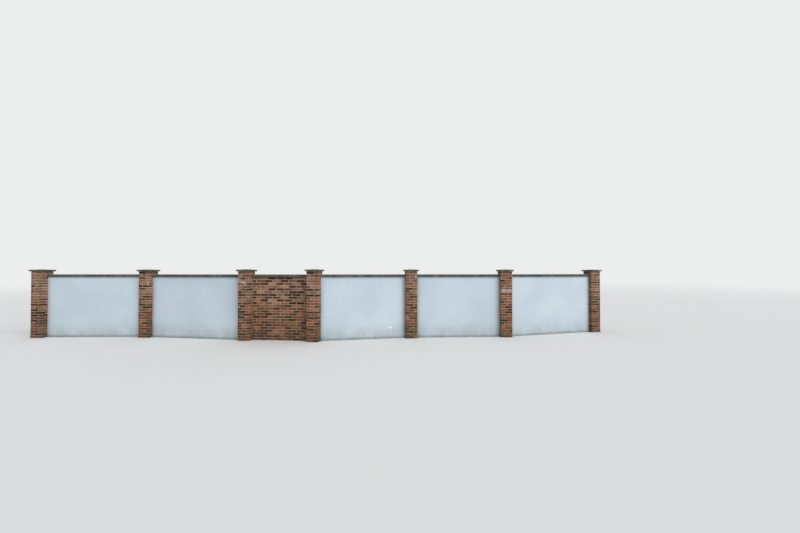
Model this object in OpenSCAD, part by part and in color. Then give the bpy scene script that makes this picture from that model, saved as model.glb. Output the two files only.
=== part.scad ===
/* [Brickwork] */
// Length of a brick
brick_l = 215; // [200:1:230]
// Width of a brick
brick_w = 102.5; // [95:0.5:110]
// Height of a brick
brick_h = 65; // [50:1:75]
// Mortar joint between bricks
joint = 10; // [8:0.5:12]
// Courses in the walls between the piers
wall_courses = 23; // [12:1:28]
// Courses that a pier stands higher than the walls
pier_extra_courses = 2; // [2:1:5]

/* [Piers and caps] */
// How far a cap reaches past its pier
cap_overhang = 36; // [20:1:60]
// Thickness of a cap at its edge
cap_edge = 45; // [30:1:80]
// Rise of a cap from its edge to its middle
cap_rise = 12; // [4:1:40]

/* [Rendered walls] */
// Thickness of the blockwork
block_t = 100; // [75:5:215]
// Thickness of the render on each face
render_t = 15; // [8:1:25]

/* [Copings] */
// How far a coping reaches past the render
coping_overhang = 35; // [15:1:60]
// Thickness of a coping at its edge
coping_edge = 50; // [25:1:70]
// Rise of a coping from its edge to its middle
coping_rise = 15; // [4:1:30]
// Longest piece that a run of coping is cut into
coping_piece = 620; // [400:10:1200]
// Open joint between two pieces of coping
coping_joint = 8; // [3:1:15]
// Chamfer along the upper edges of copings and caps
arris = 4; // [1:0.5:8]
// Radius of the drip groove under copings and caps
drip_r = 4; // [2:0.5:8]
// Drip groove's middle from the edge above it
drip_in = 15; // [12:1:30]

/* [Length of each bay between pier centres] */
// Bay 1, rendered
bay_1_l = 3000; // [1500:25:4000]
// Bay 2, rendered
bay_2_l = 3060; // [1500:25:4000]
// Bay 3, whole bricks in its length
bay_3_bricks = 7; // [4:1:14]
// Bay 4, rendered
bay_4_l = 2675; // [1500:25:4000]
// Bay 5, rendered
bay_5_l = 2725; // [1500:25:4000]
// Bay 6, rendered
bay_6_l = 3100; // [1500:25:4000]

/* [Heading of each bay in degrees from +X] */
// Bay 1
bay_1_turn = 1; // [-15:0.5:15]
// Bay 2
bay_2_turn = -9; // [-15:0.5:15]
// Bay 3
bay_3_turn = -5.5; // [-15:0.5:15]
// Bay 4
bay_4_turn = 12; // [-15:0.5:15]
// Bay 5
bay_5_turn = 3.5; // [-15:0.5:15]
// Bay 6
bay_6_turn = 16.5; // [-5:0.5:25]

/* [How far each bay stands back from the line of its pier centres] */
// Bay 1
bay_1_setback = 50; // [0:5:60]
// Bay 2
bay_2_setback = 30; // [0:5:60]
// Bay 3
bay_3_setback = 60; // [0:5:70]
// Bay 4
bay_4_setback = 40; // [0:5:60]
// Bay 5
bay_5_setback = 20; // [0:5:60]
// Bay 6
bay_6_setback = 10; // [0:5:40]

/* [Turn of each pier in degrees from +X] */
// Pier 1
pier_1_turn = 0; // [-15:0.5:15]
// Pier 2
pier_2_turn = -4.5; // [-15:0.5:15]
// Pier 3
pier_3_turn = -3; // [-15:0.5:15]
// Pier 4
pier_4_turn = -8; // [-15:0.5:15]
// Pier 5
pier_5_turn = 5; // [-15:0.5:15]
// Pier 6
pier_6_turn = 0; // [-5:0.5:25]
// Pier 7
pier_7_turn = 16.5; // [0:0.5:30]

/* [Hidden] */

// A course is a brick and its bed joint, a pier is a brick and a half square
course = brick_h + joint;
pier_w = brick_l + joint + brick_w;
wall_h = wall_courses * course;
pier_h = (wall_courses + pier_extra_courses) * course;
cap_w = pier_w + 2 * cap_overhang;

// The rendered walls and the brick wall are both centred on the line that their bay is set back to
panel_t = block_t + 2 * render_t;
coping_w = panel_t + 2 * coping_overhang;

// Bay 3 is whole bricks with a joint at each end, between two piers
bay_3_l = bay_3_bricks * (brick_l + joint) + joint + pier_w;
bay_l = [bay_1_l, bay_2_l, bay_3_l, bay_4_l, bay_5_l, bay_6_l];
bay_turn = [bay_1_turn, bay_2_turn, bay_3_turn, bay_4_turn, bay_5_turn, bay_6_turn];
bay_setback = [
    bay_1_setback, bay_2_setback, bay_3_setback, bay_4_setback, bay_5_setback, bay_6_setback
];
pier_turn = [
    pier_1_turn, pier_2_turn, pier_3_turn, pier_4_turn, pier_5_turn, pier_6_turn, pier_7_turn
];

// Pier that stands on the origin
origin_pier = 4;

// Centre of a pier, found by walking the bays from pier 1
function along(bay) = bay_l[bay - 1] * [cos(bay_turn[bay - 1]), sin(bay_turn[bay - 1])];
function walk(pier) = pier == 1 ? [0, 0] : walk(pier - 1) + along(pier - 1);
function pier_at(pier) = walk(pier) - walk(origin_pier);

brick_colour = [0.56, 0.37, 0.3];
block_colour = [0.62, 0.62, 0.6];
render_colour = [0.88, 0.89, 0.9];
slab_colour = [0.42, 0.43, 0.4];

$fn = 32;

module at_pier(pier) {
    translate(pier_at(pier)) rotate(pier_turn[pier - 1]) children();
}

// The strip between the planes of a pier's two sides, where no bay reaches
module pier_strip(pier) {
    reach = 2 * (pier_w + coping_w);
    at_pier(pier)
        translate([-pier_w / 2, -reach / 2, -course])
            cube([pier_w, reach, pier_h + 2 * course]);
}

// Places what is drawn along +X from pier to pier, and scribes it to both piers
module in_bay(bay) {
    difference() {
        translate(pier_at(bay))
            rotate(bay_turn[bay - 1])
                translate([0, bay_setback[bay - 1], 0]) children();
        pier_strip(bay);
        pier_strip(bay + 1);
    }
}

// An upright slab of masonry along a bay, from y to y + t
module leaf(bay, y, t) {
    in_bay(bay) translate([0, y, 0]) cube([bay_l[bay - 1], t, wall_h]);
}

// Section of a slab that sheds water both ways, with its upper edges chamfered
module weathered_section(width, edge, rise) {
    polygon([
        [-width / 2, 0], [width / 2, 0], [width / 2, edge - arris], [width / 2 - arris, edge],
        [0, edge + rise],
        [-width / 2 + arris, edge], [-width / 2, edge - arris]
    ]);
}

module pier(pier) {
    color(brick_colour)
        at_pier(pier) translate([-pier_w / 2, -pier_w / 2, 0]) cube([pier_w, pier_w, pier_h]);
}

// Square frame of the drip groove under a cap
module cap_drip() {
    outer = cap_w - 2 * drip_in + 2 * drip_r;
    inner = outer - 4 * drip_r;
    difference() {
        translate([-outer / 2, -outer / 2, -drip_r]) cube([outer, outer, 2 * drip_r]);
        translate([-inner / 2, -inner / 2, -2 * drip_r]) cube([inner, inner, 4 * drip_r]);
    }
}

// The crossing of two weathered sections slopes to all four sides
module pier_cap(pier) {
    color(slab_colour)
        at_pier(pier) translate([0, 0, pier_h]) difference() {
            intersection_for(side = [0, 90])
                rotate([90, 0, side])
                    linear_extrude(cap_w, center = true)
                        weathered_section(cap_w, cap_edge, cap_rise);
            cap_drip();
        }
}

module block_wall(bay) {
    color(block_colour) leaf(bay, -block_t / 2, block_t);
}

module brick_wall(bay) {
    color(brick_colour) leaf(bay, -brick_w / 2, brick_w);
}

module render_front(bay) {
    color(render_colour) leaf(bay, -panel_t / 2, render_t);
}

module render_back(bay) {
    color(render_colour) leaf(bay, block_t / 2, render_t);
}

// Section of the coping, with a half-round drip under each edge
module coping_section() {
    difference() {
        weathered_section(coping_w, coping_edge, coping_rise);
        for (side = [-1, 1])
            translate([side * (coping_w / 2 - drip_in), 0]) circle(drip_r);
    }
}

// A run of equal pieces between the pier faces, the end ones scribed to the piers
module coping(bay) {
    clear = bay_l[bay - 1] - pier_w;
    pieces = ceil(clear / coping_piece);
    pitch = clear / pieces;
    color(slab_colour) in_bay(bay)
        for (piece = [0:pieces - 1]) {
            first = piece == 0;
            last = piece == pieces - 1;
            start = first ? 0 : pier_w / 2 + piece * pitch + coping_joint / 2;
            end = last ? bay_l[bay - 1] : pier_w / 2 + (piece + 1) * pitch - coping_joint / 2;
            translate([start, 0, wall_h])
                rotate([90, 0, 90]) linear_extrude(end - start) coping_section();
        }
}

pier(1);  // pier_1
pier(2);  // pier_2
pier(3);  // pier_3
pier(4);  // pier_4
pier(5);  // pier_5
pier(6);  // pier_6
pier(7);  // pier_7
pier_cap(1);  // pier_cap_1
pier_cap(2);  // pier_cap_2
pier_cap(3);  // pier_cap_3
pier_cap(4);  // pier_cap_4
pier_cap(5);  // pier_cap_5
pier_cap(6);  // pier_cap_6
pier_cap(7);  // pier_cap_7
block_wall(1);  // block_wall_1
block_wall(2);  // block_wall_2
block_wall(4);  // block_wall_4
block_wall(5);  // block_wall_5
block_wall(6);  // block_wall_6
brick_wall(3);  // brick_wall_3
render_front(1);  // render_front_1
render_front(2);  // render_front_2
render_front(4);  // render_front_4
render_front(5);  // render_front_5
render_front(6);  // render_front_6
render_back(1);  // render_back_1
render_back(2);  // render_back_2
render_back(4);  // render_back_4
render_back(5);  // render_back_5
render_back(6);  // render_back_6
coping(1);  // coping_1
coping(2);  // coping_2
coping(3);  // coping_3
coping(4);  // coping_4
coping(5);  // coping_5
coping(6);  // coping_6
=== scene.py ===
import math
import random

import bmesh
import bpy
from mathutils import Matrix, Vector, noise
from mathutils.geometry import convex_hull_2d


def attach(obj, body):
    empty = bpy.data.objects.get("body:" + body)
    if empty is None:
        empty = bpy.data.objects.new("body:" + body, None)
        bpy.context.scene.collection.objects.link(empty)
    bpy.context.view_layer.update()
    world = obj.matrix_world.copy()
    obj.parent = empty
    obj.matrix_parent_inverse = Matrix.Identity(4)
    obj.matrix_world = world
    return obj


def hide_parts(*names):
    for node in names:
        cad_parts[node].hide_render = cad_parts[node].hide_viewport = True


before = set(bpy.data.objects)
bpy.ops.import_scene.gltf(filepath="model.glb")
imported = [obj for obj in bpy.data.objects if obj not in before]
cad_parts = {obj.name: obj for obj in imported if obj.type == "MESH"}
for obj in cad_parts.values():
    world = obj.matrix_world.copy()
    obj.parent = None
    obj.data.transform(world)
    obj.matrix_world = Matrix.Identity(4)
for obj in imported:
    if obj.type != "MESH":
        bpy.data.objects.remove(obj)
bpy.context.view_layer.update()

# Brickwork of the piers
# Seven square piers of multi red stock bricks, a brick and a half wide. Each course is four bricks laid
# pinwheel round a hidden half bat, and the next course is laid the other hand to cover its perpends.
BRICK = Vector((0.215, 0.1025, 0.065))
JOINT = 0.010
COURSE = BRICK.z + JOINT
PIERS = [1, 2, 3, 4, 5, 6, 7]

# Points closer than a hair are taken as one, and faces that meet at a sharp angle in radians as an arris
HAIR = 0.0001
SHARP = 1.0

# Wear of a brick: rubbed arrises, uneven faces and one knocked corner. It also shrank a little in the kiln
RUBBED = 0.0026
UNEVEN = 0.0011
KNOCKED = 0.0042
LEAST_KNOCK = 0.3
KNOCK_REACH = 0.014
SHRUNK = 0.004

# A brick has more edges across its faces, at shares of its length and height from its middle
CUT_NEAR = 0.12
CUT_FAR = 0.34
CUT_UP = 0.2


class Lie:
    """Where a node lies: x runs along it, y away from the garden and z up, from the middle of its base."""

    def __init__(self, node):
        points = [v.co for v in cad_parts[node].data.vertices]
        self.base = min(p.z for p in points)
        self.top = max(p.z for p in points)
        foot = [p.xy for p in points if p.z - self.base < HAIR]
        outline = [foot[i] for i in convex_hull_2d(foot)]
        along = max((b - a for a, b in zip(outline, outline[1:] + outline[:1])), key=lambda edge: edge.x)
        low = Vector((min(p.x for p in foot), min(p.y for p in foot)))
        high = Vector((max(p.x for p in foot), max(p.y for p in foot)))
        middle = (low + high) / 2
        turn = Matrix.Rotation(math.atan2(along.y, along.x), 4, "Z")
        self.place = Matrix.Translation(middle.to_3d()) @ turn
        own = [self.place.inverted() @ p for p in points]
        self.front = min(p.y for p in own)
        self.back = max(p.y for p in own)
        self.rim = max(p.z for p in own if p.y - self.front < HAIR)
        self.front_ends = self.ends(own, self.front)
        self.back_ends = self.ends(own, self.back)

    def ends(self, own, y):
        """Where each part of the node starts and stops, along its lower edge at that y."""
        found = []
        for x in sorted(p.x for p in own if abs(p.y - y) < HAIR and p.z - self.base < HAIR):
            if not found or x - found[-1] > HAIR:
                found.append(x)
        return found

    def parts(self):
        return len(self.front_ends) // 2

    def span(self, t, part=0):
        """Left and right end of a part, at t from 0 on its front to 1 on its back."""
        front = self.front_ends[2 * part:2 * part + 2]
        back = self.back_ends[2 * part:2 * part + 2]
        return [a + t * (b - a) for a, b in zip(front, back)]

    def stretch(self, bm, part=0):
        """Stretches a box that is 1 long and 1 deep over a part. Its heights are metres already."""
        for v in bm.verts:
            left, right = self.span(v.co.y, part)
            v.co.x = left + v.co.x * (right - left)
            v.co.y = self.front + v.co.y * (self.back - self.front)
        bm.transform(self.place)


def slice_up(bm, axis, places):
    """Cuts new edges round a mesh, square to an axis, at each of the places along it."""
    for place in places:
        point = Vector()
        point[axis] = place
        normal = Vector()
        normal[axis] = 1
        everything = bm.verts[:] + bm.edges[:] + bm.faces[:]
        bmesh.ops.bisect_plane(bm, geom=everything, dist=HAIR / 100, plane_co=point, plane_no=normal)


def fired_brick(length, rng):
    """One worn brick about its own middle, as a mesh that is laid many times.

    Each point keeps its place on a whole brick, so that the marks of a brick end at its own edges.
    """
    bm = bmesh.new()
    bmesh.ops.create_cube(bm, size=1)
    bmesh.ops.scale(bm, vec=(length, BRICK.y, BRICK.z), verts=bm.verts)
    knocked_end = rng.choice((-1, 1))
    cuts = [rng.uniform(-CUT_FAR, -CUT_NEAR) * length, rng.uniform(CUT_NEAR, CUT_FAR) * length]
    slice_up(bm, 0, cuts + [knocked_end * (length / 2 - KNOCK_REACH)])
    slice_up(bm, 2, [rng.uniform(-CUT_UP, CUT_UP) * BRICK.z])
    bm.normal_update()
    arrises = [e for e in bm.edges if e.calc_face_angle(0) > SHARP]
    bmesh.ops.bevel(bm, geom=arrises, offset=RUBBED, segments=1, profile=0.5, affect="EDGES", material=-1)
    bm.verts.layers.float_vector.new("fired")
    on_brick = bm.verts.layers.float_vector.new("on_brick")
    cut_off = Vector((BRICK.x - length, 0, 0))
    half = Vector((length, BRICK.y, BRICK.z)) / 2
    for v in bm.verts:
        v[on_brick] = v.co - cut_off / 2
        for axis in range(3):
            inward = -math.copysign(rng.uniform(0, UNEVEN), v.co[axis])
            if half[axis] - abs(v.co[axis]) < RUBBED + HAIR:
                v.co[axis] += inward
    corner = Vector((knocked_end * half.x, rng.choice((-1, 1)) * half.y, rng.choice((-1, 1)) * half.z))
    for v in bm.verts:
        if (v.co - corner).length < KNOCK_REACH - RUBBED:
            v.co -= corner.normalized() * rng.uniform(LEAST_KNOCK, 1) * KNOCKED
    bmesh.ops.recalc_face_normals(bm, faces=bm.faces)
    mesh = bpy.data.meshes.new("fired brick")
    bm.to_mesh(mesh)
    bm.free()
    return mesh


STRETCHER_SHAPES = 8
HALF_BAT_SHAPES = 4
KILN_SEED = 11
kiln = random.Random(KILN_SEED)
stretchers = [fired_brick(BRICK.x - kiln.uniform(0, SHRUNK), kiln) for _ in range(STRETCHER_SHAPES)]
half_bats = [fired_brick(BRICK.y - kiln.uniform(0, SHRUNK), kiln) for _ in range(HALF_BAT_SHAPES)]

# How far a brick is laid in from the face and out of true
OUT_OF_LINE = 0.0014
OUT_OF_TRUE = math.radians(0.35)

# The bricks of one pack are alike, and the packs laid last, high up, are redder
PACKS_PER_METRE = 1.3
REDDER_UP = 0.30
MID_HEIGHT = 0.9
UNLIKE_IN_PACK = 0.7


def lay(bm, brick, place, inward, tone, redder, rng):
    """Adds a brick to a mesh at its place, out of line and true, in its tone and redder by so much."""
    laid_before = len(bm.verts)
    bm.from_mesh(brick)
    bm.verts.ensure_lookup_table()
    laid = bm.verts[laid_before:]
    turned_over = Matrix.Rotation(math.pi * rng.randrange(2), 4, "Z")
    askew = Matrix.Rotation(rng.uniform(-OUT_OF_TRUE, OUT_OF_TRUE), 4, "Y")
    pushed = Matrix.Translation(inward * rng.uniform(0, OUT_OF_LINE))
    bmesh.ops.transform(bm, matrix=pushed @ place @ askew @ turned_over, verts=laid)
    fired = bm.verts.layers.float_vector["fired"]
    centre = place.translation
    pack = noise.noise(centre * PACKS_PER_METRE) + REDDER_UP * (centre.z - MID_HEIGHT)
    shade = pack + redder + rng.uniform(-UNLIKE_IN_PACK, UNLIKE_IN_PACK)
    flashed = rng.random()
    for v in laid:
        v.co.z = max(v.co.z, 0)
        v[fired] = (tone, shade, flashed)


# The tone of a brick is 0 where it is overburnt and dark, and 1 where it is underburnt and pale. Dark ones
# go up to the first of these, and all others start at the second.
DARK_UP_TO = 0.24
OTHERS_FROM = 0.20


def tone_of(rng, dark_share, palest):
    """Picks the tone of a brick out of a load with that share of dark ones and that palest tone."""
    if rng.random() < dark_share:
        return rng.uniform(0, DARK_UP_TO)
    return rng.uniform(OTHERS_FROM, palest)


class Shade:
    """An output of a shader node. Arithmetic on it adds Math nodes to its material."""

    def __init__(self, tree, output=None):
        self.tree = tree
        self.output = output

    def node(self, kind, settings, sockets, output=0):
        """Adds a node: its settings come first, then the values or links of its sockets."""
        made = self.tree.nodes.new(kind)
        for name, value in settings.items():
            if name == "stops":
                self.set_stops(made.color_ramp, value)
            else:
                setattr(made, name, value)
        for name, value in sockets.items():
            if isinstance(value, Shade):
                self.tree.links.new(value.output, made.inputs[name])
            else:
                made.inputs[name].default_value = value
        return Shade(self.tree, made.outputs[output])

    @staticmethod
    def set_stops(ramp, stops):
        while len(ramp.elements) < len(stops):
            ramp.elements.new(1)
        for element, (position, colour) in zip(ramp.elements, stops):
            element.position = position
            element.color = colour

    def math(self, operation, *values):
        return self.node("ShaderNodeMath", {"operation": operation}, dict(enumerate(values)))

    def __add__(self, other):
        return self.math("ADD", self, other)

    def __radd__(self, other):
        return self.math("ADD", other, self)

    def __sub__(self, other):
        return self.math("SUBTRACT", self, other)

    def __rsub__(self, other):
        return self.math("SUBTRACT", other, self)

    def __mul__(self, other):
        return self.math("MULTIPLY", self, other)

    def __rmul__(self, other):
        return self.math("MULTIPLY", other, self)

    def rise(self, start, end):
        """0 up to the start, 1 from the end on, and a smooth step between them."""
        return self.node("ShaderNodeMapRange", {"interpolation_type": "SMOOTHSTEP"},
                         {"Value": self, "From Min": start, "From Max": end})

    def cloud(self, scale, detail=3.0, roughness=0.55):
        """Noise over a position, with that many patches to a metre, from 0 to 1 round 0.5."""
        return self.node("ShaderNodeTexNoise", {},
                         {"Vector": self, "Scale": scale, "Detail": detail, "Roughness": roughness})

    def ramp(self, stops):
        """A colour from a list of them, each at its own value."""
        return self.node("ShaderNodeValToRGB", {"stops": stops}, {"Fac": self})

    def drawn_out(self, factors):
        """A position with its axes scaled, so that a pattern on it is drawn out along the small ones."""
        return self.node("ShaderNodeVectorMath", {"operation": "MULTIPLY"}, {0: self, 1: factors})

    def moved(self, way):
        """A position moved along another vector."""
        return self.node("ShaderNodeVectorMath", {"operation": "ADD"}, {0: self, 1: way})

    def parts(self):
        """The x, y and z of a position."""
        return [self.node("ShaderNodeSeparateXYZ", {}, {0: self}, axis) for axis in range(3)]

    def off(self, value):
        """How far this is from a value, either way."""
        return self.math("ABSOLUTE", self - value)

    def near(self, centre, sides):
        """1 at a centre, and 0 outside the sides of a soft patch round it."""
        scaled = self.drawn_out([1 / side for side in sides])
        apart = self.node("ShaderNodeVectorMath", {"operation": "DISTANCE"},
                          {0: scaled, 1: [c / side for c, side in zip(centre, sides)]}, "Value")
        return apart.rise(1, 0.35)

    def between(self, low, high):
        """A colour that is low where this value is 0, and high where it is 1."""
        return self.node("ShaderNodeMix", {"data_type": "RGBA"}, {0: self, 6: low, 7: high}, 2)

    def to(self, colour, mask):
        """This colour, gone over to another one where the mask is 1."""
        return mask.between(self, colour)

    def lit(self, factor):
        """This colour, made darker or brighter by a factor."""
        return self.node("ShaderNodeVectorMath", {"operation": "SCALE"}, {0: self, "Scale": factor})


def srgb(red, green, blue):
    """A colour given as it shows on a screen, from 0 to 255, as the linear one that a shader takes."""
    linear = [c / 255 / 12.92 if c <= 10 else ((c / 255 + 0.055) / 1.055) ** 2.4 for c in (red, green, blue)]
    return linear + [1]


def new_finish(name):
    """A new material and the position on the wall that its patterns are drawn on."""
    material = bpy.data.materials.new(name)
    material.use_nodes = True
    place = Shade(material.node_tree).node("ShaderNodeTexCoord", {}, {}, "Object")
    return material, place


def finish(material, colour, roughness, relief, depth, gloss=0.25):
    """Leads a colour, a roughness and a relief in metres of depth to a material's surface."""
    tree = material.node_tree
    surface = tree.nodes["Principled BSDF"]
    tree.links.new(colour.output, surface.inputs["Base Color"])
    tree.links.new(roughness.output, surface.inputs["Roughness"])
    surface.inputs["Specular IOR Level"].default_value = gloss
    bump = relief.node("ShaderNodeBump", {}, {"Strength": 1.0, "Distance": depth, "Height": relief})
    tree.links.new(bump.output, surface.inputs["Normal"])


# Where lime has come out of the brickwork: pier, place along its front face, height, and half sides
LIME_MARKS = [
    (2, 0.11, 1.54, 0.045, 0.075),
    (3, -0.13, 1.675, 0.060, 0.030),
    (3, -0.11, 1.605, 0.080, 0.040),
    (3, -0.03, 1.580, 0.070, 0.040),
    (3, 0.03, 1.535, 0.050, 0.045),
    (3, -0.13, 0.920, 0.035, 0.035),
    (6, -0.08, 1.33, 0.13, 0.070),
    (6, 0.09, 1.32, 0.12, 0.055),
    (5, 0.12, 1.72, 0.04, 0.080),
]
LIME_DEPTH = 0.06
# Heights between which weather fades in on the brickwork, and how far painted shade reaches down from the
# top
BLOOMED_FROM = 0.80
BLOOMED_ABOVE = 1.40
SOILED_UNDER = 0.95
SOILED_FOOT = 0.50
FOOT_DAMP = 0.34
PAINTED_SHADE_REACH = 0.07

pier_lies = {pier: Lie("pier_%d" % pier) for pier in PIERS}


def lime_on(place):
    """Mask of the white lime stains on the fronts of the piers."""
    lime = 0
    for pier, x, z, half_wide, half_high in LIME_MARKS:
        lie = pier_lies[pier]
        centre = lie.place @ Vector((x, lie.front, z))
        lime = lime + place.near(centre, (half_wide, LIME_DEPTH, half_high))
    return lime * place.cloud(34, 7, 0.7).rise(0.34, 0.56)


def weathered_and_shaded(body, place, top, thirst):
    """This colour, bloomed with lime high up where it is thirsty, soiled low down, and with painted shade at
    the top.
    """
    height = place.parts()[2]
    bloomed = height.rise(BLOOMED_FROM, BLOOMED_ABOVE) * place.cloud(6, 6, 0.65).rise(0.36, 0.60)
    body = body.to(srgb(196, 182, 170), bloomed * thirst * 0.16)
    soiled = height.rise(SOILED_UNDER, SOILED_FOOT) * place.cloud(5, 6, 0.6).rise(0.30, 0.60)
    body = body.to(srgb(70, 50, 30), soiled * 0.28)
    damp = height.rise(FOOT_DAMP, 0) * place.cloud(7, 4).rise(0.36, 0.62)
    body = body.to(srgb(78, 74, 56), damp * 0.72)
    # Painted shade: the courses just under the cap or coping are darkened as if its overhang shaded them
    shade_under_top = height.rise(top - PAINTED_SHADE_REACH, top) * place.cloud(12, 5).rise(0.28, 0.58)
    return body.to(srgb(62, 56, 45), shade_under_top * 0.72)


def brick_finish(top):
    """Fired clay, sanded and creased: each brick has its own tone and marks, and the top ones get painted
    shade.
    """
    material, place = new_finish("facing_brick")
    fired = place.node("ShaderNodeAttribute", {"attribute_name": "fired"}, {}, "Vector")
    on_brick = place.node("ShaderNodeAttribute", {"attribute_name": "on_brick"}, {}, "Vector")
    tone, shade, flashed = fired.parts()
    browns = [
        (0.00, srgb(38, 28, 19)), (0.16, srgb(59, 41, 28)), (0.30, srgb(91, 63, 42)),
        (0.50, srgb(116, 81, 54)), (0.68, srgb(133, 91, 59)), (0.84, srgb(151, 109, 71)),
        (1.00, srgb(174, 138, 98)),
    ]
    reds = [
        (0.00, srgb(41, 28, 21)), (0.16, srgb(62, 40, 30)), (0.30, srgb(95, 59, 45)),
        (0.50, srgb(121, 75, 57)), (0.68, srgb(138, 83, 61)), (0.84, srgb(156, 99, 74)),
        (1.00, srgb(175, 129, 101)),
    ]
    body = shade.rise(-0.6, 0.6).between(tone.ramp(browns), tone.ramp(reds))

    marks = on_brick.moved(fired.drawn_out((9, 9, 9)))
    mottled = marks.cloud(22, 6, 0.68)
    body = body.lit(0.45 + mottled * 1.10)
    flash = marks.drawn_out((0.45, 1, 1.5)).cloud(14, 4).rise(0.48, 0.60) * flashed.rise(0.35, 0.65)
    body = body.to(srgb(66, 46, 34), flash * 0.75)
    from_faces = [side / 2 - part.off(0) for side, part in zip(BRICK, on_brick.parts())]
    heads = (from_faces[0] + marks.cloud(30, 4) * 0.03).rise(0.055, 0.02) * flashed.rise(0.35, 0.1)
    body = body.to(srgb(84, 61, 50), heads * 0.6)
    sand = marks.cloud(480, 3, 0.7)
    body = body.to(srgb(62, 46, 42), sand.rise(0.58, 0.68) * 0.55)
    body = body.to(srgb(198, 164, 136), sand.rise(0.38, 0.30) * 0.40)
    folds = marks.drawn_out((0.4, 1.0, 1.7)).cloud(15, 4).off(0.5).rise(0.022, 0)
    creases = folds * marks.cloud(9, 2).rise(0.46, 0.58)
    body = body.to(srgb(58, 42, 38), creases * 0.6)

    farthest = from_faces[0].math("MAXIMUM", from_faces[0], from_faces[1])
    farthest = farthest.math("MAXIMUM", farthest, from_faces[2])
    from_arris = from_faces[0] + from_faces[1] + from_faces[2] - farthest
    edge_wear = (from_arris + marks.cloud(75, 5, 0.7) * 0.016).rise(0.014, 0.009)
    body = body.to(srgb(178, 142, 116), edge_wear * 0.45)
    smeared = place.cloud(26, 6, 0.7).rise(0.58, 0.68)
    body = body.to(srgb(172, 154, 132), smeared * 0.40)
    body = body.to(srgb(214, 208, 200), lime_on(place) * 0.55)
    body = weathered_and_shaded(body, place, top, tone.rise(0.05, 0.45))
    relief = sand * 0.45 + mottled * 1.1 + smeared * 0.2 - creases * 0.8 - edge_wear * 0.3
    finish(material, body, 0.96 - flashed * 0.14, relief, 0.0022)
    return material


def new_piece(name, bm, material, nodes):
    """Makes a piece of its mesh, in its finish, riding on the wall and standing for those nodes."""
    mesh = bpy.data.meshes.new(name)
    bm.to_mesh(mesh)
    bm.free()
    mesh.materials.append(material)
    piece = bpy.data.objects.new(name, mesh)
    bpy.context.scene.collection.objects.link(piece)
    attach(piece, "root")
    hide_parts(*nodes)


# The piers took the darker and redder bricks of the load, and the dark ones come in runs of courses
PIERS_PALEST = 0.86
PIERS_REDDER = 0.22
PIERS_DARK = 0.12
DARK_IN_RUNS = 0.30
RUNS_PER_COURSE = 0.45
PIER_TO_PIER = 3.7
FIRST_PIER_SEED = 100

facing_brick = brick_finish(pier_lies[1].top)
for pier, lie in pier_lies.items():
    rng = random.Random(FIRST_PIER_SEED + pier)
    pier_bricks = bmesh.new()
    edge = lie.front + BRICK.x / 2
    face = lie.front + BRICK.y / 2
    for course in range(round((lie.top - lie.base) / COURSE)):
        hand = -1 if course % 2 else 1
        run = noise.noise(Vector((pier * PIER_TO_PIER, course * RUNS_PER_COURSE, 0)))
        dark_share = PIERS_DARK + DARK_IN_RUNS * max(0, run)
        for quarter in range(4):
            turned = Matrix.Rotation(hand * quarter * math.pi / 2, 4, "Z")
            centre = Vector((hand * edge, face, course * COURSE + BRICK.z / 2))
            place = lie.place @ turned @ Matrix.Translation(centre)
            inward = (lie.place @ turned).to_3x3() @ Vector((0, 1, 0))
            brick = rng.choice(stretchers)
            tone = tone_of(rng, dark_share, PIERS_PALEST)
            lay(pier_bricks, brick, place, inward, tone, PIERS_REDDER, rng)
    new_piece("pier_bricks_%d" % pier, pier_bricks, facing_brick, ["pier_%d" % pier])

# Mortar of the piers
# Buff sand and cement mortar between the bricks, struck a little back from their faces with a rounded iron,
# which leaves every joint hollow. The last bed carries the cap.
STRUCK_BACK = 0.0035
HOLLOW = 0.0025
TROWELLED = 0.0006
TROWEL_MARKS_PER_METRE = 40


def mortar_finish(top):
    """Sanded mortar with lighter and darker batches, and darker perpends than beds: more dirt, and painted
    shade of their hollows.
    """
    material, place = new_finish("mortar")
    batch = place.cloud(4.5, 6, 0.7).rise(0.36, 0.64)
    sand = place.cloud(620, 3, 0.7)
    body = batch.between(srgb(158, 135, 110), srgb(205, 186, 160))
    body = body.lit(0.78 + sand * 0.44)
    body = body.to(srgb(118, 96, 78), place.cloud(30, 6, 0.7).rise(0.50, 0.64) * 0.6)
    height = place.parts()[2]
    up_course = height.math("MODULO", height, COURSE)
    perpend = up_course.rise(BRICK.z + HAIR, BRICK.z - JOINT / 4)
    # Darker perpends: partly dirt, partly painted shade as if these joints were deeper than the beds
    body = body.to(srgb(92, 72, 56), perpend * place.cloud(13, 2).rise(0.46, 0.58) * 0.8)
    body = body.to(srgb(222, 218, 210), lime_on(place) * 0.55)
    body = weathered_and_shaded(body, place, top, 1)
    finish(material, body, 0.90 + sand * 0.1, sand + place.cloud(110, 4, 0.7) * 1.4, 0.0014, gloss=0.15)
    return material


def hollow_joints(bm, axis, middles, outer, inner_axis):
    """Presses the middle line of each joint into the mortar, towards the middle of the work."""
    for v in bm.verts:
        if abs(abs(v.co[inner_axis]) - outer) > STRUCK_BACK:
            continue
        if min(abs(v.co[axis] - middle) for middle in middles) < HAIR:
            v.co[inner_axis] -= math.copysign(HOLLOW, v.co[inner_axis])


def joint_lines(middles):
    """The two sides and the middle of each joint."""
    return [middle + side * JOINT / 2 for middle in middles for side in (-1, 0, 1)]


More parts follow.
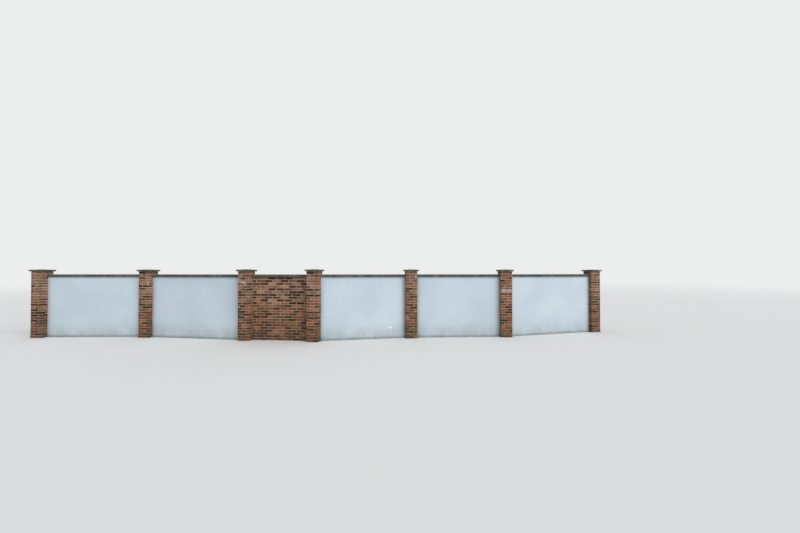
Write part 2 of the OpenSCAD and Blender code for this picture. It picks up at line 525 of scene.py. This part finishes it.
def mortar_core(length, depth, height, perpends, across):
    """The mortar of a piece of brickwork about its own middle, as one block behind its brick faces."""
    bm = bmesh.new()
    bmesh.ops.create_cube(bm, size=1)
    bmesh.ops.translate(bm, vec=(0, 0, 0.5), verts=bm.verts)
    bmesh.ops.scale(bm, vec=(length, depth, height), verts=bm.verts)
    beds = [n * COURSE - JOINT / 2 for n in range(1, round(height / COURSE) + 1)]
    slice_up(bm, 2, [z for z in joint_lines(beds) if z < height - HAIR])
    slice_up(bm, 0, joint_lines(perpends))
    slice_up(bm, 1, joint_lines(across))
    hollow_joints(bm, 2, beds, depth / 2, 1)
    hollow_joints(bm, 0, perpends, depth / 2, 1)
    if across:
        hollow_joints(bm, 2, beds, length / 2, 0)
        hollow_joints(bm, 1, across, length / 2, 0)
    for v in bm.verts:
        for axis, outer in ((0, length / 2), (1, depth / 2)):
            uneven = TROWELLED * noise.noise(v.co * TROWEL_MARKS_PER_METRE + Vector((axis, 0, 0)))
            if abs(v.co[axis]) > outer / 2:
                v.co[axis] += math.copysign(1, v.co[axis]) * (uneven - TROWELLED)
    return bm


mortar = mortar_finish(pier_lies[1].top)
for pier, lie in pier_lies.items():
    wide = lie.back - lie.front - 2 * STRUCK_BACK
    perpend = BRICK.x - (lie.back - lie.front) / 2 + JOINT / 2
    pier_mortar = mortar_core(wide, wide, lie.top - lie.base, [-perpend, perpend], [-perpend, perpend])
    pier_mortar.transform(lie.place)
    new_piece("pier_mortar_%d" % pier, pier_mortar, mortar, ["pier_%d" % pier])

# Brick panel of bay 3
# A half-brick wall of the same bricks in stretcher bond between piers 3 and 4. Every second course starts
# and ends with a half bat, and each end has a mortar joint against its pier.
OFF_BOND = 0.004
# Dark bricks lie in all courses, more in some, and most in a soft band at a height
PANEL_DARK = 0.07
DARK_IN_COURSE = 0.12
DARK_IN_BAND = 0.28
BAND_HEIGHT = 1.3
BAND_SPREAD = 0.32
# With this seed the lighter and darker courses follow each other about as the real ones do
PANEL_SEED = 1457

panel_lie = Lie("brick_wall_3")
left, right = panel_lie.span(0.5)
panel_brick = brick_finish(panel_lie.top)
panel_joints = mortar_finish(panel_lie.top)
whole_bricks = int((right - left) / (BRICK.x + JOINT))
bond = whole_bricks * (BRICK.x + JOINT)
first_edge = (left + right - bond + JOINT) / 2
half_step = (BRICK.x + JOINT) / 2
rng = random.Random(PANEL_SEED)
panel_bricks = bmesh.new()
for course in range(round((panel_lie.top - panel_lie.base) / COURSE)):
    middle_height = course * COURSE + BRICK.z / 2
    band = math.exp(-((middle_height - BAND_HEIGHT) / BAND_SPREAD) ** 2)
    dark_share = PANEL_DARK + DARK_IN_BAND * band + DARK_IN_COURSE * rng.random()
    edges = [first_edge + n * (BRICK.x + JOINT) for n in range(whole_bricks)]
    row = [(edge + BRICK.x / 2, stretchers) for edge in edges]
    if course % 2:
        last = first_edge + bond - JOINT - BRICK.y / 2
        row = [(x + half_step, stretchers) for x, _ in row[:-1]]
        row += [(first_edge + BRICK.y / 2, half_bats), (last, half_bats)]
    for x, shapes in row:
        middle_depth = (panel_lie.front + panel_lie.back) / 2
        along = x + rng.uniform(-OFF_BOND, OFF_BOND)
        place = panel_lie.place @ Matrix.Translation((along, middle_depth, middle_height))
        inward = panel_lie.place.to_3x3() @ Vector((0, 1, 0))
        brick = rng.choice(shapes)
        lay(panel_bricks, brick, place, inward, tone_of(rng, dark_share, 1), 0, rng)
new_piece("panel_bricks", panel_bricks, panel_brick, ["brick_wall_3"])

deep = panel_lie.back - panel_lie.front - 2 * STRUCK_BACK
perpends = [n * half_step - bond / 2 for n in range(1, 2 * whole_bricks)]
panel_mortar = mortar_core(right - left, deep, panel_lie.top - panel_lie.base, perpends, [])
middle = Vector(((left + right) / 2, (panel_lie.front + panel_lie.back) / 2, 0))
panel_mortar.transform(panel_lie.place @ Matrix.Translation(middle))
new_piece("panel_mortar", panel_mortar, panel_joints, ["brick_wall_3"])

# Blockwork of the rendered bays
# Dense concrete blocks in stretcher bond, hidden by the render, the copings and the piers. The block walls
# keep their plain shape and get the colour and the grain of the blocks.
RENDERED_BAYS = [1, 2, 4, 5, 6]


def block_finish():
    """Cast concrete block, open in its texture, with a darker and a paler aggregate."""
    material, place = new_finish("blockwork")
    aggregate = place.cloud(260, 3)
    patches = place.cloud(4, 3)
    body = patches.between(srgb(132, 132, 126), srgb(164, 163, 156))
    body = body.to(srgb(96, 94, 90), aggregate.rise(0.60, 0.70) * 0.6)
    finish(material, body, 0.92 + aggregate * 0.06, aggregate, 0.002, gloss=0.2)
    return material


blockwork = block_finish()
for bay in RENDERED_BAYS:
    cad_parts["block_wall_%d" % bay].material_slots[0].material = blockwork

# Render coats of the bays
# Sand and cement render, floated smooth and painted a cool white, on both faces of the blockwork. It is
# cut back a little where it stops against a pier, and its face waves where the float passed.
WAVE = 0.0022
WAVES_PER_METRE = 1.6
FRONT_TO_BACK = 7
STOP_BACK = 0.004
FLOAT_STEP = 0.11
# How far runs and dust with painted shade reach down from the coping, and splashes with painted shade and
# mud up from the ground
RUNS_REACH = 0.75
DUST_AND_SHADE_REACH = 0.10
SPLASH_AND_SHADE_REACH = 0.50
MUD_REACH = 0.09
# A scuff on the front of bay 4: distance from the right end, height, and half sides
SCUFF_IN = 0.43
SCUFF_UP = 0.305
SCUFF_SIDES = (0.085, 0.04, 0.055)


def render_finish(coping_line, scuff_place):
    """Painted render with float marks, runs and dust under the coping, a splashed foot, a scuff, and painted
    shade under the coping and at the foot.
    """
    material, place = new_finish("white_render")
    height = place.parts()[2]
    broad = place.cloud(0.9, 3)
    body = broad.rise(0.3, 0.7).between(srgb(191, 205, 215), srgb(201, 214, 222))
    floated = place.drawn_out((2.5, 2.5, 5.5)).cloud(1, 4)
    body = body.lit(0.97 + floated * 0.06)
    runs = place.drawn_out((13, 13, 0.7)).cloud(1, 4).rise(0.56, 0.74)
    body = body.to(srgb(172, 178, 172), runs * height.rise(coping_line - RUNS_REACH, coping_line) * 0.25)
    # Dust under the coping, together with painted shade where the coping's overhang shades the render
    dust_and_shade = place.drawn_out((6, 6, 2)).cloud(1, 4).rise(0.3, 0.7)
    body = body.to(srgb(158, 170, 158), dust_and_shade * height.rise(coping_line - DUST_AND_SHADE_REACH, coping_line) * 0.45)
    # Splashes from the ground, together with painted shade that darkens the render towards its foot
    splash_and_foot_shade = height.rise(SPLASH_AND_SHADE_REACH, 0) * place.drawn_out((5, 5, 3)).cloud(1, 6).rise(0.1, 0.65)
    body = body.to(srgb(138, 140, 128), splash_and_foot_shade * 0.42)
    mud = height.rise(MUD_REACH, 0) * place.cloud(9, 6, 0.65).rise(0.25, 0.75)
    body = body.to(srgb(112, 116, 92), mud * 0.5)
    scuff = (place.near(scuff_place, SCUFF_SIDES) + place.cloud(26, 7, 0.75) * 2.4).rise(1.80, 2.05)
    body = body.to(srgb(232, 236, 238), scuff * 0.8)
    sand = place.cloud(480, 2)
    relief = sand * 0.5 + place.drawn_out((1, 1, 1.6)).cloud(55, 3) * 0.7
    finish(material, body, 0.80 + sand * 0.12, relief, 0.0007)
    return material


def floated_coat(lie, face):
    """A coat of render over one face of a bay. face is 0 where it shows at the front and 1 at the back."""
    bm = bmesh.new()
    bmesh.ops.create_cube(bm, size=1)
    bmesh.ops.translate(bm, vec=(0.5, 0.5, 0.5), verts=bm.verts)
    left, right = lie.span(face)
    long = right - left
    height = lie.top - lie.base
    steps = round(long / FLOAT_STEP)
    slice_up(bm, 0, [STOP_BACK / long, 1 - STOP_BACK / long])
    slice_up(bm, 0, [n / steps for n in range(1, steps)])
    rows = round(height / FLOAT_STEP)
    slice_up(bm, 2, [n / rows for n in range(1, rows)])
    thick = lie.back - lie.front
    for v in bm.verts:
        v.co.z *= height
        if abs(v.co.y - face) > HAIR:
            continue
        if v.co.x < HAIR or v.co.x > 1 - HAIR:
            sunk = STOP_BACK
        else:
            here = Vector((v.co.x * long + lie.place.translation.x, face * FRONT_TO_BACK, v.co.z))
            sunk = WAVE * (0.5 + 0.5 * noise.noise(here * WAVES_PER_METRE))
        v.co.y += (1 - 2 * face) * sunk / thick
    lie.stretch(bm)
    for f in bm.faces:
        f.smooth = abs(f.normal.z) < 0.5
    return bm


front_lies = {bay: Lie("render_front_%d" % bay) for bay in RENDERED_BAYS}
scuffed = front_lies[4]
scuff_place = scuffed.place @ Vector((scuffed.front_ends[1] - SCUFF_IN, scuffed.front, SCUFF_UP))
white_render = render_finish(scuffed.top, scuff_place)
for bay in RENDERED_BAYS:
    front_coat = floated_coat(front_lies[bay], 0)
    new_piece("front_coat_%d" % bay, front_coat, white_render, ["render_front_%d" % bay])
    back_coat = floated_coat(Lie("render_back_%d" % bay), 1)
    new_piece("back_coat_%d" % bay, back_coat, white_render, ["render_back_%d" % bay])

# Copings of the bays
# Cast concrete slabs, weathered both ways from a low ridge and throated with a drip under each edge. They
# are bedded end to end between the piers, and the joints between them are filled with mortar.
ARRIS = 0.004
DRIP_IN = 0.015
DRIP_HALF = 0.004
BAYS = [1, 2, 3, 4, 5, 6]
SLAB_STEP = 0.05

# Wear of a slab: its uneven skin, and flakes off the edges that turn by more than an angle in radians. The
# pattern of the flakes is shifted off that of the skin.
WORN = 0.0012
SKIN_PER_METRE = 23
SPALLED = 0.005
FLAKES_PER_METRE = 11
FLAKES_ABOVE = 0.15
FLAKES_SHIFTED = Vector((5, 0, 0))
EXPOSED = 0.5


def slab_finish():
    """Dark cast concrete out in the weather: sandy skin, algae, soot and pale lichen."""
    material, place = new_finish("concrete_slab")
    batch = place.node("ShaderNodeAttribute", {"attribute_name": "batch"}, {}, "Fac")
    cast = place.cloud(7, 8, 0.68)
    body = cast.rise(0.34, 0.66).between(srgb(69, 73, 64), srgb(103, 106, 94))
    grains = place.cloud(520, 3, 0.75)
    # The batch value varies the slabs, and on caps 6 and 7 its high value is painted sunlight
    body = body.lit(0.80 + grains * 0.38 + batch * 0.15)
    body = body.to(srgb(136, 135, 122), grains.rise(0.60, 0.70) * 0.5)
    body = body.to(srgb(44, 45, 40), grains.rise(0.40, 0.32) * 0.5)
    algae = place.cloud(4.5, 8, 0.65).rise(0.47, 0.58)
    body = body.to(srgb(68, 80, 55), algae * 0.55)
    soot = place.cloud(16, 8, 0.7).rise(0.53, 0.62)
    body = body.to(srgb(52, 53, 47), soot * 0.6)
    spots = place.node("ShaderNodeTexVoronoi", {}, {"Vector": place, "Scale": 38.0}, "Distance")
    ragged = spots + place.cloud(120, 5, 0.75) * 0.5
    lichen = ragged.rise(0.44, 0.38) * place.cloud(5.3, 3).rise(0.50, 0.56)
    body = body.to(srgb(158, 162, 144), lichen * 0.6)
    relief = place.cloud(60, 6, 0.7) * 1.2 + grains * 0.5 + lichen * 0.25 - grains.rise(0.62, 0.70) * 0.4
    finish(material, body, 0.88 + grains * 0.1, relief, 0.0022)
    return material


def worn(bm, flat_below, batch):
    """Wears a slab of a batch: its skin is uneven all over, and its upper edges have lost small flakes."""
    batch_layer = bm.verts.layers.float.new("batch")
    bm.normal_update()
    moves = []
    for v in bm.verts:
        worn_off = WORN * (0.5 + 0.5 * noise.noise(v.co * SKIN_PER_METRE))
        turn = max((e.calc_face_angle(0) for e in v.link_edges), default=0)
        if turn > EXPOSED and v.co.z > flat_below:
            flaked = noise.noise(v.co * FLAKES_PER_METRE + FLAKES_SHIFTED)
            worn_off += SPALLED * max(0, flaked - FLAKES_ABOVE)
        moves.append(-v.normal * worn_off)
        v[batch_layer] = batch
    for v, move in zip(bm.verts, moves):
        if v.co.z < flat_below + HAIR:
            move.z = 0
        v.co += move


def take_off_arrises(bm, above):
    """Chamfers the sharp edges of a slab that lie above a height."""
    sharp = [e for e in bm.edges if e.calc_face_angle(0) > SHARP]
    upper = [e for e in sharp if min(v.co.z for v in e.verts) > above]
    bmesh.ops.bevel(bm, geom=upper, offset=ARRIS, segments=1, profile=0.5, affect="EDGES", material=-1)


def coping_slab(lie, part, batch):
    """One slab of coping, from its bed on the wall to its ridge."""
    left, right = lie.span(0.5, part)
    wide = lie.back - lie.front
    rim = lie.rim + ARRIS - lie.base
    bm = bmesh.new()
    bmesh.ops.create_cube(bm, size=1)
    bmesh.ops.translate(bm, vec=(0.5, 0.5, 0.5), verts=bm.verts)
    bmesh.ops.scale(bm, vec=(1, 1, rim), verts=bm.verts)
    slice_up(bm, 1, [0.5])
    for v in bm.verts:
        if abs(v.co.y - 0.5) < HAIR and v.co.z > rim / 2:
            v.co.z = lie.top - lie.base
    drip = [(DRIP_IN + side * DRIP_HALF) / wide for side in (-1, 0, 1)]
    slice_up(bm, 1, drip + [1 - t for t in drip] + [0.25, 0.75])
    for v in bm.verts:
        in_drip = min(abs(v.co.y - drip[1]), abs(v.co.y - 1 + drip[1])) < HAIR
        if in_drip and v.co.z < HAIR:
            v.co.z = DRIP_HALF
    steps = max(2, round((right - left) / SLAB_STEP))
    slice_up(bm, 0, [n / steps for n in range(1, steps)])
    lie.stretch(bm, part)
    bm.normal_update()
    take_off_arrises(bm, rim / 2)
    bmesh.ops.translate(bm, vec=(0, 0, lie.base), verts=bm.verts)
    worn(bm, lie.base, batch)
    return bm


def joined(pieces_of_it):
    """Several meshes as one."""
    whole = bmesh.new()
    for bm in pieces_of_it:
        part = bpy.data.meshes.new("part")
        bm.to_mesh(part)
        bm.free()
        whole.from_mesh(part)
        bpy.data.meshes.remove(part)
    return whole


concrete_slab = slab_finish()
SLAB_SEED = 57
slab_batches = random.Random(SLAB_SEED)
coping_lies = {bay: Lie("coping_%d" % bay) for bay in BAYS}
for bay, lie in coping_lies.items():
    slabs = joined([coping_slab(lie, part, slab_batches.uniform(-1, 1)) for part in range(lie.parts())])
    new_piece("coping_slabs_%d" % bay, slabs, concrete_slab, ["coping_%d" % bay])

# Mortar between the copings
# Small strips of the same mortar that fill the gap between two slabs, kept back from their faces.
POINTED_BACK = 0.004
# Cuts across the wall in each strip, and how often its top waves over the wall's width
POINTING_STEPS = 8
POINTING_WAVES = 9


def pointing(lie, part):
    """The mortar in the joint after a part of the coping."""
    wide = lie.back - lie.front
    bm = bmesh.new()
    bmesh.ops.create_cube(bm, size=1)
    bmesh.ops.translate(bm, vec=(0.5, 0.5, 0.5), verts=bm.verts)
    slice_up(bm, 1, [n / POINTING_STEPS for n in range(1, POINTING_STEPS)])
    for v in bm.verts:
        t = POINTED_BACK / wide + v.co.y * (1 - 2 * POINTED_BACK / wide)
        start = lie.span(t, part)[1] - POINTED_BACK / 2
        end = lie.span(t, part + 1)[0] + POINTED_BACK / 2
        crown = 1 - abs(2 * v.co.y - 1)
        rim = lie.rim + ARRIS - lie.base
        high = rim + crown * (lie.top - lie.base - rim) - POINTED_BACK
        high -= TROWELLED * (1 + noise.noise(v.co * POINTING_WAVES + Vector((part, 0, 0))))
        v.co = Vector((start + v.co.x * (end - start), lie.front + t * wide, lie.base + v.co.z * high))
    bm.transform(lie.place)
    return bm


for bay, lie in coping_lies.items():
    strips = joined([pointing(lie, part) for part in range(lie.parts() - 1)])
    new_piece("coping_joints_%d" % bay, strips, panel_joints, [])

# Caps of the piers
# Square slabs of the same cast concrete, sloped to all four sides from a low point and throated with a
# square drip. Each is bedded on its pier and reaches past it all round.
# Caps 6 and 7 take a high batch value that makes them paler: painted sunlight on them
CAPS_PAINTED_SUNLIT = [6, 7]
PAINTED_SUNLIGHT_BATCH = 2.4
CAP_STEPS = 9


def cap_slab(lie, batch):
    """One pier cap, from its bed on the pier to its point."""
    wide = lie.back - lie.front
    rim = lie.rim + ARRIS - lie.base
    bm = bmesh.new()
    bmesh.ops.create_cube(bm, size=1)
    bmesh.ops.translate(bm, vec=(0, 0, 0.5), verts=bm.verts)
    bmesh.ops.scale(bm, vec=(wide, wide, rim), verts=bm.verts)
    bm.normal_update()
    top = [f for f in bm.faces if f.normal.z > 0.5]
    bmesh.ops.poke(bm, faces=top, offset=lie.top - lie.base - rim)
    bm.normal_update()
    take_off_arrises(bm, rim / 2)
    groove = wide / 2 - DRIP_IN
    lines = [side * (groove + off * DRIP_HALF) for side in (-1, 1) for off in (-1, 0, 1)]
    lines += [n * wide / CAP_STEPS for n in range(-3, 4)]
    slice_up(bm, 0, lines)
    slice_up(bm, 1, lines)
    for v in bm.verts:
        if v.co.z < HAIR and abs(max(abs(v.co.x), abs(v.co.y)) - groove) < HAIR:
            v.co.z = DRIP_HALF
    bm.transform(lie.place @ Matrix.Translation((0, 0, lie.base)))
    worn(bm, lie.base, batch)
    return bm


for pier in PIERS:
    batch = PAINTED_SUNLIGHT_BATCH if pier in CAPS_PAINTED_SUNLIT else slab_batches.uniform(-1, 1)
    cap = cap_slab(Lie("pier_cap_%d" % pier), batch)
    new_piece("cap_slab_%d" % pier, cap, concrete_slab, ["pier_cap_%d" % pier])

# Studio
# A plain pale floor that goes over into the backdrop far from the wall, soft light from all round and a
# broad lamp from the right. The camera stands in the garden, with its eye just above the copings.
FLOOR_SIDE = 400
FLOOR_DROP = 0.0005
FADE_FROM = 13
FADE_TO = 70
BACKDROP = (0.84, 0.845, 0.85, 1)
SOFT_LIGHT = (0.58, 0.59, 0.61, 1)


def seen_directly(shader):
    """1 where the camera, or a mirror before it, sees a surface, and 0 where it lights others."""
    rays = ["Is Camera Ray", "Is Glossy Ray", "Is Transmission Ray"]
    camera, glossy, through = [shader.node("ShaderNodeLightPath", {}, {}, ray) for ray in rays]
    return camera + glossy + through


floor_bm = bmesh.new()
bmesh.ops.create_grid(floor_bm, x_segments=1, y_segments=1, size=FLOOR_SIDE / 2)
bmesh.ops.translate(floor_bm, vec=(0, 0, -FLOOR_DROP), verts=floor_bm.verts)
floor_mesh = bpy.data.meshes.new("studio_floor")
floor_bm.to_mesh(floor_mesh)
floor_bm.free()
floor_material = bpy.data.materials.new("studio_floor")
floor_material.use_nodes = True
floor_surface = floor_material.node_tree.nodes["Principled BSDF"]
floor_surface.inputs["Base Color"].default_value = srgb(244, 244, 242)
floor_surface.inputs["Roughness"].default_value = 0.95
floor_surface.inputs["Specular IOR Level"].default_value = 0
floor_place = Shade(floor_material.node_tree).node("ShaderNodeTexCoord", {}, {}, "Object")
far = floor_place.node("ShaderNodeVectorMath", {"operation": "LENGTH"}, {0: floor_place}, "Value")
backdrop = far.node("ShaderNodeEmission", {}, {"Color": BACKDROP})
near_floor = Shade(floor_material.node_tree, floor_surface.outputs[0])
fade = far.rise(FADE_FROM, FADE_TO) * seen_directly(far)
faded = far.node("ShaderNodeMixShader", {}, {0: fade, 1: near_floor, 2: backdrop})
floor_out = floor_material.node_tree.nodes["Material Output"]
floor_material.node_tree.links.new(faded.output, floor_out.inputs["Surface"])
floor_mesh.materials.append(floor_material)
floor = bpy.data.objects.new("studio_floor", floor_mesh)
bpy.context.scene.collection.objects.link(floor)

world = bpy.data.worlds.new("studio")
bpy.context.scene.world = world
world.use_nodes = True
all_round = seen_directly(Shade(world.node_tree)).between(SOFT_LIGHT, BACKDROP)
world.node_tree.links.new(all_round.output, world.node_tree.nodes["Background"].inputs["Color"])

KEY_TURN = math.radians(50)
KEY_HEIGHT = math.radians(22)
KEY_SPREAD = math.radians(50)
KEY_STRENGTH = 1.7
key = bpy.data.lights.new("key", "SUN")
key.energy = KEY_STRENGTH
key.angle = KEY_SPREAD
key_lamp = bpy.data.objects.new("key", key)
key_lamp.rotation_euler = (math.pi / 2 - KEY_HEIGHT, 0, KEY_TURN)
bpy.context.scene.collection.objects.link(key_lamp)

CAMERA_AT = (2.305, -9.855, 1.862)
CAMERA_LENS = 16.45
CAMERA_PITCH = math.radians(0.83)
camera = bpy.data.cameras.new("camera")
camera.lens = CAMERA_LENS
camera_stand = bpy.data.objects.new("camera", camera)
camera_stand.location = CAMERA_AT
camera_stand.rotation_euler = (math.pi / 2 + CAMERA_PITCH, 0, 0)
bpy.context.scene.collection.objects.link(camera_stand)
bpy.context.scene.camera = camera_stand
bpy.context.scene.view_settings.view_transform = "Standard"
